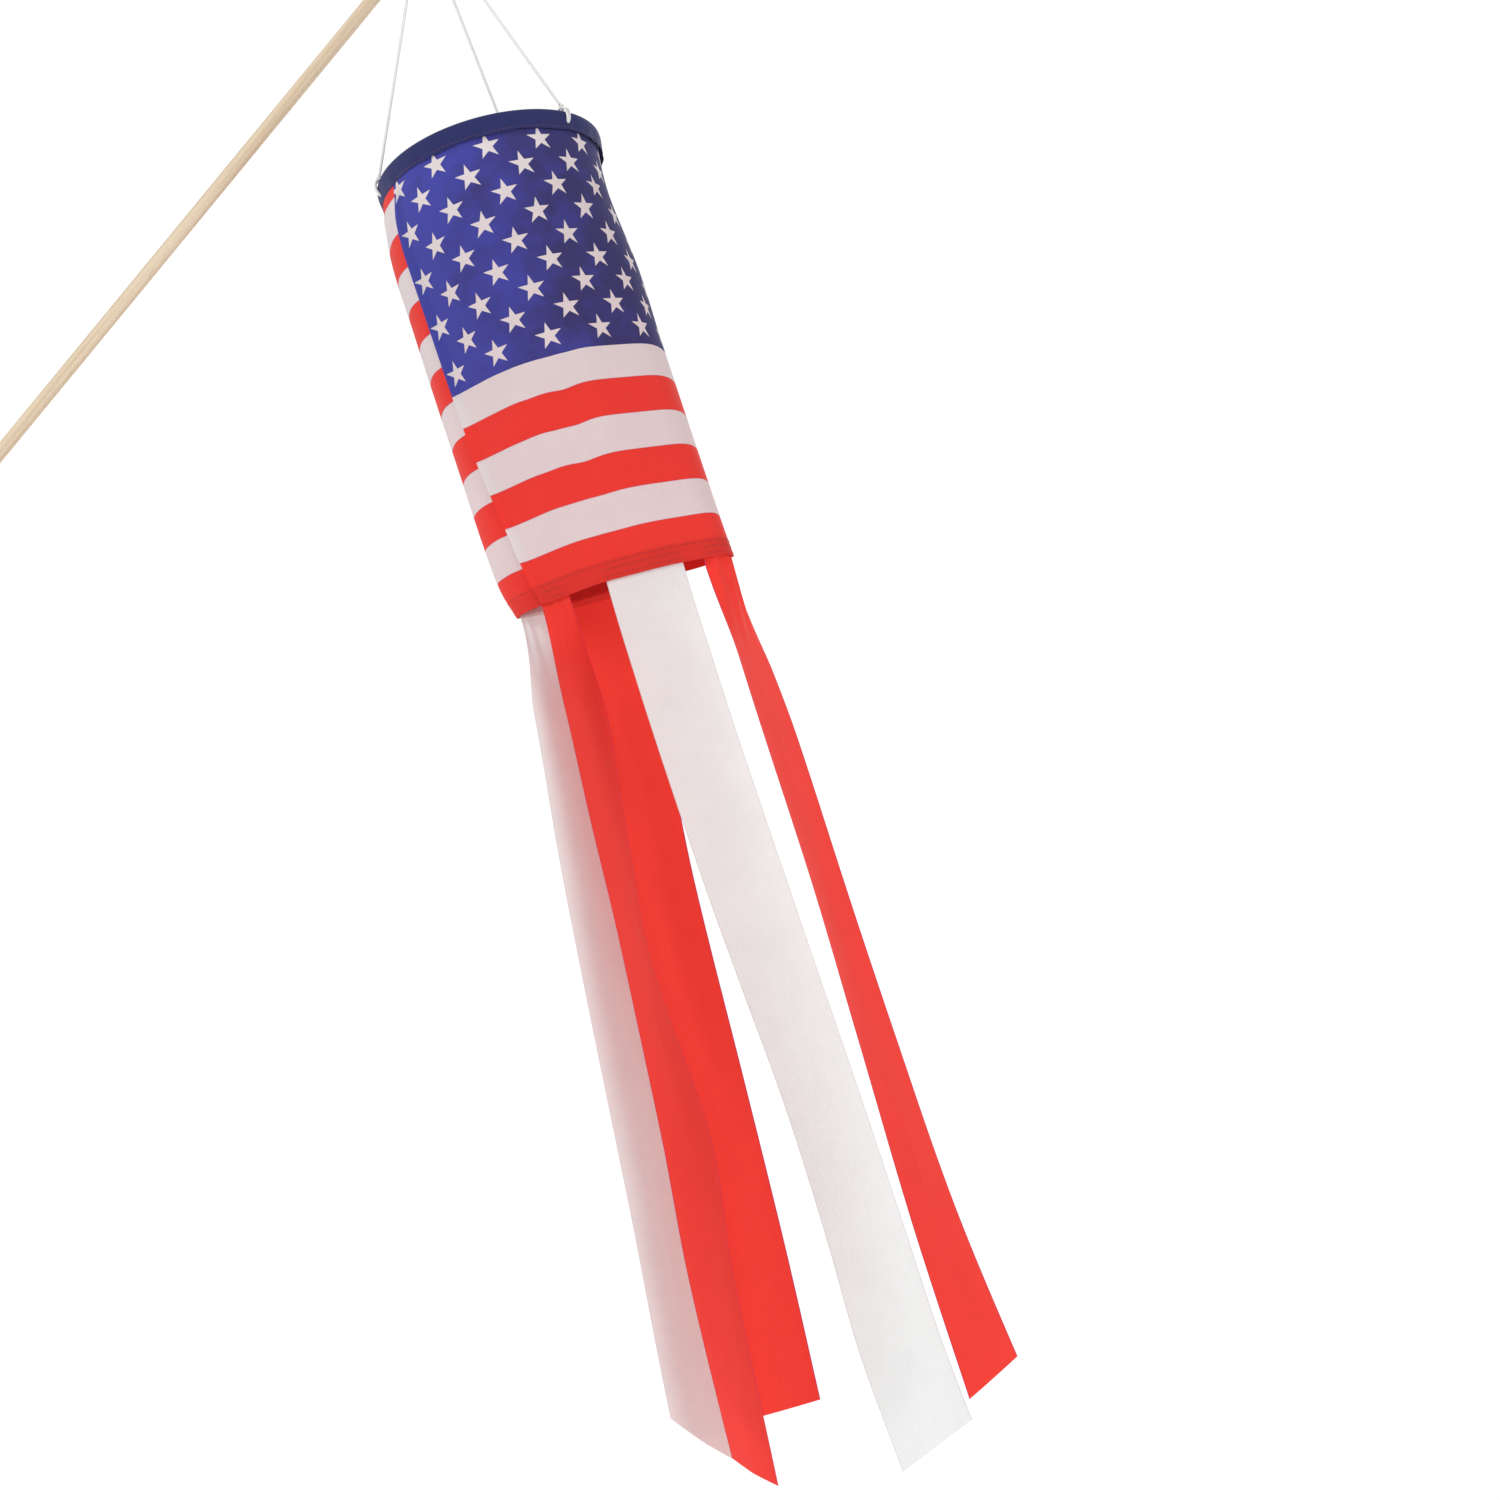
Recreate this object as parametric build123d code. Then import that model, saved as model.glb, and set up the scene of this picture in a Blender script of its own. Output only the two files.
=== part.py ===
from build123d import *
import math
import os

# Printed cloth windsock hanging by a three-cord bridle from the tip of a slanted wooden dowel.
# Millimetres, +Z up. The origin is the centre of the dowel's butt end, the dowel leans towards +X,
# and the sock hangs plumb below the dowel's tip. The viewer's side is -Y.

os.makedirs("parts", exist_ok=True)

# Dowel
pole_r = 4.5
pole_len = 914.4
pole_lean = 37.6
pole_chamfer = 0.8
groove_from_tip = 12.0
groove_width = 7.2
groove_r = 3.8

# Cord, lashing and bridle knot
cord_r = 1.0
lash_turns = 3
lash_pitch = 1.96
lash_ring_r = 5.1
knot_r = 2.3
knot_above = 11.0
knot_exit = knot_r + 0.45
side_clear = 7.8
flank_shift = 2.0
flank_drop = 4.0
tail_r = 0.9

# Hoop, its casing, the top hem and the loops tied through it
bridle_drop = 187.6
hoop_r = 72.8
hoop_shift = -2.0
hoop_wire_r = 1.5
casing_gap_r = 1.7
casing_r = 2.5
hem_drop = 11.0
cord_first_angle = 14.3
loop_ring_r = 4.6
loop_cord_r = 0.9
end_knot_r = 1.8
hole_r = 1.6
hole_reach = 14.0

# Cloth tube: round at the hoop, settling to a flat oval at the bottom hem
cloth = 0.8
tube_len = 306.0
top_slack = 0.1
bottom_a = 73.0
bottom_b = 30.0
bottom_hem_h = 12.0
seam_angle = 30.0
seam_w = 9.0
seam_end_gap = 2.0
thread_r = 0.35
thread_from_edge = 1.6

# Streamers
streamer_w = 50.0
streamer_t = 0.8
streamer_gap = 0.5
tab_h = 9.0

# Where things sit
lean = math.radians(pole_lean)
along_x = math.cos(lean)
along_z = math.sin(lean)
grip_s = pole_len - groove_from_tip
axis_x = grip_s * along_x
hoop_x = axis_x + hoop_shift
knot_z = grip_s * along_z + knot_above
hoop_z = knot_z - bridle_drop
hem_z = hoop_z - tube_len


def save(shape, name):
    shape.label = name
    export_step(shape, os.path.join("parts", name + ".step"))


def semi_a(z):
    share = (hoop_z - z) / tube_len
    return hoop_r + top_slack + (bottom_a - hoop_r - top_slack) * share


def semi_b(z):
    share = (hoop_z - z) / tube_len
    return hoop_r + (bottom_b - hoop_r) * share


def oval(z, grow):
    share = (hoop_z - z) / tube_len
    return Pos(axis_x + hoop_shift * (1 - share), 0, z) * Ellipse(semi_a(z) + grow, semi_b(z) + grow)


def oval_solid(z_top, z_low, grow):
    return loft([oval(z_low, grow), oval(z_top, grow)], ruled=True)


def oval_wall(z_top, z_low, inner, outer):
    return oval_solid(z_top, z_low, outer) - oval_solid(z_top, z_low, inner)


def hoop_point(angle, radius, z):
    turn = math.radians(angle)
    return Vector(hoop_x - radius * math.cos(turn), -radius * math.sin(turn), z)


def cord_along(points, radius):
    # Straight runs joined by one tangent arc at the middle point
    first, bend, last = points
    turn = (bend - first).get_angle(last - bend)
    short_run = min((bend - first).length, (last - bend).length)
    bend_r = 0.45 * short_run / math.tan(math.radians(turn / 2))
    path = FilletPolyline(first, bend, last, radius=bend_r)
    section = Plane(origin=path @ 0, z_dir=path % 0) * Circle(radius)
    print("cord bend radius", round(bend_r, 2), "length", round(path.length, 1))
    return sweep(section, path=path)


# Dowel with a broken edge at the tip, a square-cut butt and a shallow turned groove near the tip
pole_plane = Plane(origin=(0, 0, 0), z_dir=(along_x, 0, along_z), x_dir=(0, 1, 0))
pole = Cylinder(pole_r, pole_len, align=(Align.CENTER, Align.CENTER, Align.MIN))
pole = chamfer(pole.edges().filter_by(GeomType.CIRCLE).sort_by(Axis.Z)[-1], pole_chamfer)
groove_band = Cylinder(pole_r + 1, groove_width) - Cylinder(groove_r, groove_width)
pole = pole - Pos(0, 0, grip_s) * groove_band
save(pole_plane * pole, "pole")

# Cord lashing: turns laid side by side in the groove, free to roll round the dowel
lash_start = grip_s - lash_pitch * (lash_turns - 1) / 2
lashing = Pos(0, 0, lash_start) * Torus(lash_ring_r, cord_r)
for i in range(1, lash_turns):
    lashing = lashing + Pos(0, 0, lash_start + i * lash_pitch) * Torus(lash_ring_r, cord_r)
save(pole_plane * lashing, "tip_lashing")

# Bridle knot on top of the lashing, with its two trimmed tails
knot_centre = Vector(axis_x, 0, knot_z)
knot = Pos(knot_centre) * Sphere(knot_r)
tail_routes = [
    [(-0.8, 0.6, 1.2), (-3.2, 2.0, 4.2), (-6.8, 2.6, 5.6)],
    [(0.8, -0.6, 1.2), (2.4, -1.6, 4.8), (5.6, -1.8, 7.6)],
]
for route in tail_routes:
    knot = knot + cord_along([knot_centre + Vector(*step) for step in route], tail_r)
save(knot, "bridle_knot")

# Three bridle cords, one third of a turn apart round the hoop. Two pass in front of the
# dowel and one behind it, and each ends at the knot of its own loop.
places = ["left", "front", "rear"]
sides = [-1, -1, 1]
shifts = [-1.0, 1.0, 0.0]
angles = [cord_first_angle + 120.0 * i for i in range(3)]
for place, side, shift, angle in zip(places, sides, shifts, angles):
    leave = Vector(0.6 * shift, 0.75 * side, -0.25).normalized()
    start = knot_centre + leave * knot_exit
    flank = knot_centre + Vector(shift * flank_shift, side * side_clear, -flank_drop)
    low = hoop_point(angle, hoop_r, hoop_z + loop_ring_r + end_knot_r)
    end = low - (low - flank).normalized() * (end_knot_r + 0.1)
    save(cord_along([start, flank, end], cord_r), "bridle_cord_" + place)

# A loop of the same cord goes through the top hem round the hoop, closed by a small knot
for place, angle in zip(places, angles):
    out = hoop_point(angle, 1.0, 0) - Vector(hoop_x, 0, 0)
    side_dir = Vector(0, 0, 1).cross(out)
    loop_plane = Plane(origin=hoop_point(angle, hoop_r, hoop_z), z_dir=side_dir, x_dir=out)
    low = hoop_point(angle, hoop_r, hoop_z + loop_ring_r + end_knot_r)
    loop = loop_plane * Torus(loop_ring_r, loop_cord_r) + Pos(low) * Sphere(end_knot_r)
    save(loop, "hem_loop_" + place)

# Hoop inside its cloth casing, the casing is the top hem wrapped over it
hoop_place = Pos(hoop_x, 0, hoop_z)
save(hoop_place * Torus(hoop_r, hoop_wire_r), "hoop")
save(hoop_place * Torus(hoop_r, casing_r) - hoop_place * Torus(hoop_r, casing_gap_r), "hoop_casing")

# Holes where the loops go through the cloth, cut outwards from just inside the hoop
holes = []
for angle in angles:
    out = hoop_point(angle, 1.0, 0) - Vector(hoop_x, 0, 0)
    spot = hoop_point(angle, hoop_r - hole_reach / 2, hoop_z - loop_ring_r)
    hole = Cylinder(hole_r, hole_reach, align=(Align.CENTER, Align.CENTER, Align.MIN))
    holes.append(Plane(origin=spot, z_dir=out) * hole)

# Top hem outside the printed tube panel
hem_skirt = oval_wall(hoop_z - casing_r, hoop_z - hem_drop, cloth, cloth * 2)
tube = oval_wall(hoop_z - casing_r, hem_z, 0.0, cloth)
for hole in holes:
    hem_skirt = hem_skirt - hole
    tube = tube - hole
save(hem_skirt, "top_hem")
save(tube, "sock_tube")

# Lengthwise seam allowance, folded flat inside the tube, a little left of the front
seam_top = hoop_z - hem_drop - seam_end_gap
inside = oval_wall(seam_top, hem_z + bottom_hem_h + seam_end_gap, -cloth, 0.0)
wedge_reach = hoop_r * 2.5
wedge_pts = [(0, 0)]
for step in (-0.5, 0.5):
    turn = math.radians(seam_angle) + seam_w / hoop_r * step
    wedge_pts.append((-wedge_reach * math.cos(turn), -wedge_reach * math.sin(turn)))
wedge = extrude(Pos(axis_x, 0, hem_z) * make_face(Polyline(*wedge_pts, close=True)), tube_len)
save(inside & wedge, "lengthwise_seam")

# Bottom hem turned up inside, one cloth thick
save(oval_wall(hem_z + bottom_hem_h, hem_z, -cloth, 0.0), "bottom_hem")


# Stitch rows stand just proud of the cloth
def stitch_row(z, grow):
    return oval_wall(z + thread_r, z - thread_r, grow, grow + thread_r)


save(stitch_row(hoop_z - hem_drop + thread_from_edge, cloth * 2), "top_hem_stitching")
save(stitch_row(hem_z + bottom_hem_h - thread_from_edge, cloth), "bottom_hem_stitching")

# Streamer tops: one sewn tab each, flat on the inside of the bottom hem. Four are on the long
# sides, given by their span in x and their side in y, and two go round the ends.
tab_wall = oval_wall(hem_z + tab_h, hem_z, -cloth * 2, -cloth)
tab_reach = bottom_b * 2
tab_spans = [(-46, -26, -1), (-1, 49, -1), (-36, 14, 1), (17, 47, 1)]
end_tab_starts = [-58, 58]
tabs = []
for low_x, high_x, side in tab_spans:
    block = Box(high_x - low_x, tab_reach, tab_h + 2)
    middle = axis_x + (low_x + high_x) / 2
    tabs.append(tab_wall & Pos(middle, side * tab_reach / 2, hem_z + tab_h / 2) * block)
for start_x in end_tab_starts:
    block = Box(tab_reach, tab_reach * 2, tab_h + 2)
    middle = axis_x + start_x + math.copysign(tab_reach / 2, start_x)
    tabs.append(tab_wall & Pos(middle, 0, hem_z + tab_h / 2) * block)
save(Compound(children=tabs), "streamer_tabs")

# Streamers. Each row is drop below the hem, centre x, centre y, turn about Z in degrees, and the
# width where the strip is gathered at its sewn top and opens out below.
# The last two numbers trim the end: how much shorter the low-x and the high-x edges are.
front_y = -(bottom_b - cloth * 1.5)
rear_y = -front_y
streamers = {
    "streamer_red_front": [[
        (streamer_gap, -36.0, -25.5, -13, 20),
        (20, -36.0, -25.5, 8, 26),
        (75, -35.0, -6.0, 61),
        (150, -39.0, -7.0, 64),
        (235, -45.0, -8.0, 71),
        (360, -46.5, -9.0, 59),
        (445, -54.0, -10.0, 64),
        (577, -60.0, -11.0, 66)], 20, 0],
    "streamer_white_front": [[
        (streamer_gap, 24.5, front_y, 0),
        (84, 26.0, front_y - 2, 3),
        (200, 31.0, front_y - 5, 11),
        (284, 35.5, front_y - 7, 21),
        (364, 40.0, front_y - 9, 26),
        (450, 43.0, front_y - 10, 20),
        (524, 45.0, front_y - 11, 8),
        (594, 51.0, front_y - 12, 4)], 0, 20],
    "streamer_red_right": [[
        (streamer_gap, 72.0, 0.0, 73),
        (100, 75.0, 0.0, 70),
        (224, 79.0, 0.0, 68),
        (330, 82.0, 0.0, 60),
        (444, 86.5, 0.0, 51),
        (558, 96.0, 0.0, 40)], 0, 14],
    "streamer_white_rear": [[
        (streamer_gap, 32.0, 25.8, -11, 30),
        (20, 33.5, 26.0, -16, 34),
        (150, 32.0, 14.0, -46),
        (300, 34.0, 20.0, -42),
        (430, 38.0, 26.0, -40),
        (545, 42.0, 30.0, -38)], 0, 14],
    "streamer_red_rear": [[
        (streamer_gap, -11.0, rear_y, 0),
        (60, -14.0, rear_y + 1, 3),
        (120, -19.5, rear_y + 4, 3),
        (190, -24.5, rear_y + 7, 0),
        (320, -28.0, rear_y + 10, 5),
        (430, -31.5, rear_y + 12, 5),
        (529, -36.0, rear_y + 13, 2)], 0, 0],
    "streamer_white_left": [[
        (streamer_gap, -53.5, 18.5, 38, 28),
        (20, -54.0, 18.0, 38, 32),
        (90, -54.0, -1.0, 57),
        (164, -59.5, 1.0, 53),
        (244, -64.5, 3.0, 49),
        (324, -69.0, 5.0, 44),
        (404, -74.0, 6.0, 41),
        (484, -80.0, 6.0, 40),
        (552, -84.0, 6.0, 39)], 33, 0],
}


def strip_section(drop, x, y, turn, width=streamer_w):
    return Pos(axis_x + x, y, hem_z - drop) * Rot(0, 0, turn) * Rectangle(width, streamer_t)


for name, (rows, trim_low, trim_high) in streamers.items():
    strip = loft([strip_section(*row) for row in rows], ruled=True)
    drop, x, y, turn = rows[-1]
    half = streamer_w / 2 + 1
    cut_pts = [(-half, -2), (half, -2), (half, trim_high), (-half, trim_low)]
    cutter = extrude(Plane.XZ * make_face(Polyline(*cut_pts, close=True)), streamer_w, both=True)
    save(strip - Pos(axis_x + x, y, hem_z - drop) * Rot(0, 0, turn) * cutter, name)
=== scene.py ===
import bpy
import math
from mathutils import Matrix, Vector


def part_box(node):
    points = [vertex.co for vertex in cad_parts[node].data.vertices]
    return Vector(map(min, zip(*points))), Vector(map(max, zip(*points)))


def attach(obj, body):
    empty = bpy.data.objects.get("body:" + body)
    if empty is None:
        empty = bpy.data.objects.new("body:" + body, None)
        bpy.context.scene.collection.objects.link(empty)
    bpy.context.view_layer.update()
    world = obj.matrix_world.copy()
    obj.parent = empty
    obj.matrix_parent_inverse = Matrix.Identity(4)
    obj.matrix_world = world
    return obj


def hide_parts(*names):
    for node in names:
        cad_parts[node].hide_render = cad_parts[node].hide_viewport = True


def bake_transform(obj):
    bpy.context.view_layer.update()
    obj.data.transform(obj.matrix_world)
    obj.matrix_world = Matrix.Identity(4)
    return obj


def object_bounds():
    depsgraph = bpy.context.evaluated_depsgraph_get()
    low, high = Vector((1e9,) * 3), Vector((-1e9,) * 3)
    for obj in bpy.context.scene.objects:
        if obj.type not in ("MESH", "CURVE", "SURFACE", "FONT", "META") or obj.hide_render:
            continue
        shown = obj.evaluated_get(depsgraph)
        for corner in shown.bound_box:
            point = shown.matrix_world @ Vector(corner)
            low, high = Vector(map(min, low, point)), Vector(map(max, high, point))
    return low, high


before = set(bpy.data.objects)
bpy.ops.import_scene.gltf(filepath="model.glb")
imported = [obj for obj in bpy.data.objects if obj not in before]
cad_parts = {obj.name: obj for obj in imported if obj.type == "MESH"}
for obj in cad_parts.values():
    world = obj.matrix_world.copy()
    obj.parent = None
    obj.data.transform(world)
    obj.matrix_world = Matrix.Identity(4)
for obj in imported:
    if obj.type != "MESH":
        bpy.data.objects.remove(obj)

CAD_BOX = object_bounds()
MM = 0.001

# Places that come from the frame, in metres, and the hoop's offset from the hang line in millimetres
hoop_low, hoop_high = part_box("hoop")
tube_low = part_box("sock_tube")[0]
lashing_low, lashing_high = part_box("tip_lashing")
GRIP = (lashing_low + lashing_high) / 2
AXIS_X = GRIP.x
HOOP_Z = (hoop_low.z + hoop_high.z) / 2
HEM_Z = tube_low.z
HOOP_SHIFT = ((hoop_low.x + hoop_high.x) / 2 - AXIS_X) / MM

# How the pole leans, as in the photograph
POLE_LEAN = math.radians(37.6)
POLE_DIR = Vector((math.cos(POLE_LEAN), 0, math.sin(POLE_LEAN)))

# Driving sizes in millimetres
HOOP_R = 72.8
CASING_R = 2.5
TUBE_LEN = (HOOP_Z - HEM_Z) / MM
BOTTOM_FRONT = 28.0
BOTTOM_REAR = 17.0
CASING_DROP = 11.5
BOTTOM_HEM = 12.0
CORD_R = 1.0
COIL_R = 5.1
STREAMER_W = 50.0
TAB_H = 9.0
FIRST_CORD = 14.3
CORD_GAP_DEG = 120.0
FRONT_LOOP_ON = 6.5

# Outline of the cloth tube: drop below the hoop, how far its middle has drifted in x, half width
OUTLINE = [
    (0, -2.0, 72.9), (14, -3.6, 72.4), (44, -6.0, 74.0), (100, -2.5, 75.5), (150, -0.5, 75.0),
    (200, 2.0, 74.6), (250, 4.5, 74.4), (285, 7.0, 73.6), (306, 10.5, 71.5)]

# Print on the cloth in millimetres, degrees and star steps
STAR_STEP_COL = 17.9
STAR_STEP_ROW = 16.24
STAR_R = 9.0
FIRST_ROW = 0.095
SEAM_DEG = -56.5
CANTON_START = -5.0
CANTON_COLS = 12.0
CANTON_ROWS = 9.78
STRIPE = 23.8
STRIPE_START = -8.0
LAST_STRIPE = 12.0
LAP_STEP = 3.2
STAR_ROWS = 9
COL_TURN_DEG = 13.65
FRONT_COL = 4.79
COL_HALF_X = 74.8


def sock_at(x, y, drop):
    """A point given in millimetres from the hoop's centre, drop counted downwards."""
    return Vector((AXIS_X + x * MM, y * MM, HOOP_Z - drop * MM))


def smooth(t):
    t = min(max(t, 0.0), 1.0)
    return t * t * (3 - 2 * t)


def mix(a, b, t):
    return a + (b - a) * t


def bell(x, centre, width):
    return math.exp(-((x - centre) / width) ** 2)


# ---------------------------------------------------------------- node helpers
class Nodes:
    """A short way to write a material's node tree."""

    def __init__(self, name):
        self.material = bpy.data.materials.new(name)
        self.material.use_nodes = True
        self.tree = self.material.node_tree
        self.tree.nodes.clear()

    def add(self, kind, **settings):
        node = self.tree.nodes.new(kind)
        for key, value in settings.items():
            setattr(node, key, value)
        return node

    def link(self, source, target):
        if hasattr(source, "links"):
            self.tree.links.new(source, target)
        else:
            target.default_value = source

    def math(self, operation, first, second=0.0, third=0.0, clamp=False):
        node = self.add("ShaderNodeMath", operation=operation, use_clamp=clamp)
        self.link(first, node.inputs[0])
        self.link(second, node.inputs[1])
        self.link(third, node.inputs[2])
        return node.outputs[0]

    def mix(self, factor, first, second, blend_type="MIX"):
        node = self.add("ShaderNodeMix", data_type="RGBA", blend_type=blend_type)
        self.link(factor, node.inputs["Factor"])
        self.link(first, node.inputs[6])
        self.link(second, node.inputs[7])
        return node.outputs[2]

    def uv(self, name):
        node = self.add("ShaderNodeUVMap", uv_map=name)
        parts = self.add("ShaderNodeSeparateXYZ")
        self.link(node.outputs[0], parts.inputs[0])
        return node.outputs[0], parts.outputs[0], parts.outputs[1]

    def place(self):
        return self.add("ShaderNodeTexCoord").outputs["Object"]

    def noise(self, vector, scale, detail=2.0, roughness=0.5):
        node = self.add("ShaderNodeTexNoise")
        self.link(vector, node.inputs["Vector"])
        node.inputs["Scale"].default_value = scale
        node.inputs["Detail"].default_value = detail
        node.inputs["Roughness"].default_value = roughness
        return node.outputs[0]

    def wave(self, vector, scale, direction="X", distortion=0.0):
        node = self.add("ShaderNodeTexWave", wave_type="BANDS", bands_direction=direction)
        self.link(vector, node.inputs["Vector"])
        node.inputs["Scale"].default_value = scale
        node.inputs["Distortion"].default_value = distortion
        return node.outputs["Fac"]

    def bump(self, height, strength, distance):
        node = self.add("ShaderNodeBump")
        self.link(height, node.inputs["Height"])
        node.inputs["Strength"].default_value = strength
        node.inputs["Distance"].default_value = distance
        return node.outputs[0]

    def stretch(self, vector, scale):
        node = self.add("ShaderNodeMapping")
        self.link(vector, node.inputs["Vector"])
        node.inputs["Scale"].default_value = scale
        return node.outputs[0]

    def finish(self, colour, normal, roughness, sheen=0.0, through=0.0, specular=0.5):
        shader = self.add("ShaderNodeBsdfPrincipled")
        self.link(colour, shader.inputs["Base Color"])
        self.link(normal, shader.inputs["Normal"])
        self.link(roughness, shader.inputs["Roughness"])
        shader.inputs["Sheen Weight"].default_value = sheen
        shader.inputs["Specular IOR Level"].default_value = specular
        out = self.add("ShaderNodeOutputMaterial")
        surface = shader.outputs[0]
        if through > 0:
            glow = self.add("ShaderNodeBsdfTranslucent")
            self.link(colour, glow.inputs["Color"])
            self.link(normal, glow.inputs["Normal"])
            both = self.add("ShaderNodeMixShader")
            both.inputs[0].default_value = through
            self.link(surface, both.inputs[1])
            self.link(glow.outputs[0], both.inputs[2])
            surface = both.outputs[0]
        self.link(surface, out.inputs[0])
        return self.material


# ---------------------------------------------------------------- materials
# Painted light: the tube's white is tinted pink for the red light that shines through from the red stripes
# on the far wall
RED_LIT_WHITE_INK = (0.80, 0.745, 0.75, 1)
RED_INK = (0.88, 0.045, 0.032, 1)
BLUE_INK = (0.060, 0.066, 0.40, 1)
# Blue painted darker and more purple, standing in for shade on the far side of the tube
SHADE_AND_DULL_BLUE = (0.044, 0.039, 0.165, 1)
NAVY_INK = (0.021, 0.026, 0.125, 1)
STREAMER_WHITE = (0.80, 0.825, 0.82, 1)
# Painted shade for places where the cloth lies two layers thick and lets less light through
DOUBLE_CLOTH_SHADE = (0.30, 0.008, 0.008, 1)
THROUGH = 0.35
CASING_THROUGH = 0.15
STREAMER_THROUGH = 0.30
CLOTH_ROUGH = 0.82
CLOTH_SHEEN = 0.15
CLOTH_SHINE = 0.25
WEAVE_STRENGTH = 0.25
WEAVE_DEPTH = 0.0002


def weave(nodes, vector):
    """Fine plain weave as a height, threads about half a millimetre apart."""
    across = nodes.wave(vector, 320.0, "X", 0.6)
    along = nodes.wave(vector, 320.0, "Y", 0.6)
    threads = nodes.math("ADD", across, along)
    cloud = nodes.noise(vector, 90.0, 4.0, 0.6)
    return nodes.math("ADD", threads, nodes.math("MULTIPLY", cloud, 2.0))


def dyed(nodes, vector, colour, strength=0.06):
    """Uneven take-up of dye, a little lighter and darker in soft patches."""
    cloud = nodes.noise(vector, 30.0, 4.0, 0.65)
    shade = nodes.math("MULTIPLY_ADD", cloud, strength * 2, 1.0 - strength)
    grey = nodes.add("ShaderNodeCombineXYZ")
    for socket in grey.inputs:
        nodes.link(shade, socket)
    return nodes.mix(1.0, colour, grey.outputs[0], "MULTIPLY")


def print_cloth():
    """Stars on a blue field with red and white stripes, worked out from the cloth's own UV map.
    U counts star columns and V counts star rows."""
    n = Nodes("printed_cloth")
    uv, u, v = n.uv("print")
    half_sum = n.math("MULTIPLY", n.math("ADD", u, v), 0.5)
    half_gap = n.math("MULTIPLY", n.math("SUBTRACT", u, v), 0.5)
    near_sum = n.math("ROUND", half_sum)
    near_gap = n.math("ROUND", half_gap)
    col = n.math("ADD", near_sum, near_gap)
    row = n.math("SUBTRACT", near_sum, near_gap)
    dx = n.math("MULTIPLY", n.math("SUBTRACT", u, col), STAR_STEP_COL / STAR_R)
    dy = n.math("MULTIPLY", n.math("SUBTRACT", row, v), STAR_STEP_ROW / STAR_R)
    fifth = math.radians(36)
    turn = n.math("ARCTAN2", dx, dy)
    turn = n.math("FLOORED_MODULO", n.math("ADD", turn, fifth), 2 * fifth)
    turn = n.math("ABSOLUTE", n.math("SUBTRACT", turn, fifth))
    far = n.math("SQRT", n.math("ADD", n.math("MULTIPLY", dx, dx), n.math("MULTIPLY", dy, dy)))
    slope = 1 / math.tan(math.radians(18))
    edge = n.math("ADD", n.math("COSINE", turn), n.math("MULTIPLY", n.math("SINE", turn), slope))
    star = n.math("MULTIPLY_ADD", n.math("MULTIPLY", far, edge), -14.0, 14.5, clamp=True)
    for first, second in ((row, 0.5), (STAR_ROWS + 0.5, row), (col, 0.5), (CANTON_COLS - 0.5, col)):
        star = n.math("MULTIPLY", star, n.math("GREATER_THAN", first, second))
    canton = n.math("GREATER_THAN", u, CANTON_START)
    canton = n.math("MULTIPLY", canton, n.math("LESS_THAN", u, CANTON_COLS))
    canton = n.math("MULTIPLY", canton, n.math("LESS_THAN", v, CANTON_ROWS))
    start = (FIRST_ROW * STAR_STEP_ROW - STRIPE_START) / STRIPE
    drop = n.math("MULTIPLY_ADD", v, STAR_STEP_ROW / STRIPE, start)
    count = n.math("MINIMUM", n.math("MAXIMUM", n.math("FLOOR", drop), 0.0), LAST_STRIPE)
    white = n.math("FLOORED_MODULO", count, 2.0)
    # Painted shade: the blue is brighter by the seam, on the side the key light comes from, and darker and
    # more purple towards the far side, in soft patches that are partly uneven dye and partly painted shade
    patch = n.noise(uv, 0.55, 3.0, 0.6)
    shade_and_dull = n.math("MULTIPLY_ADD", u, 0.17, -0.35)
    shade_and_dull = n.math("ADD", shade_and_dull, n.math("MULTIPLY_ADD", patch, 2.4, -1.2), clamp=True)
    blue = n.mix(shade_and_dull, BLUE_INK, SHADE_AND_DULL_BLUE)
    field = n.mix(star, blue, RED_LIT_WHITE_INK)
    bands = n.mix(white, RED_INK, RED_LIT_WHITE_INK)
    # Thin purple overprint where a red stripe meets a white one
    into = n.math("FRACT", drop)
    border = n.math("MINIMUM", into, n.math("SUBTRACT", 1.0, into))
    line = n.math("MULTIPLY_ADD", border, -60.0, 1.2, clamp=True)
    line = n.math("MULTIPLY", line, n.math("LESS_THAN", drop, LAST_STRIPE + 0.5))
    bands = n.mix(n.math("MULTIPLY", line, 0.45), bands, (0.42, 0.02, 0.10, 1))
    colour = n.mix(canton, bands, field)
    # Painted shade: the turned-up hem is two cloths thick, so less light comes through and it is painted
    # darker
    hem_row = (TUBE_LEN - BOTTOM_HEM) / STAR_STEP_ROW - FIRST_ROW
    double_shade = n.math("GREATER_THAN", v, hem_row)
    colour = n.mix(n.math("MULTIPLY", double_shade, 0.12), colour, DOUBLE_CLOTH_SHADE)
    place = n.place()
    colour = dyed(n, place, colour)
    normal = n.bump(weave(n, place), WEAVE_STRENGTH, WEAVE_DEPTH)
    return n.finish(colour, normal, CLOTH_ROUGH, CLOTH_SHEEN, THROUGH, CLOTH_SHINE)


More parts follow.
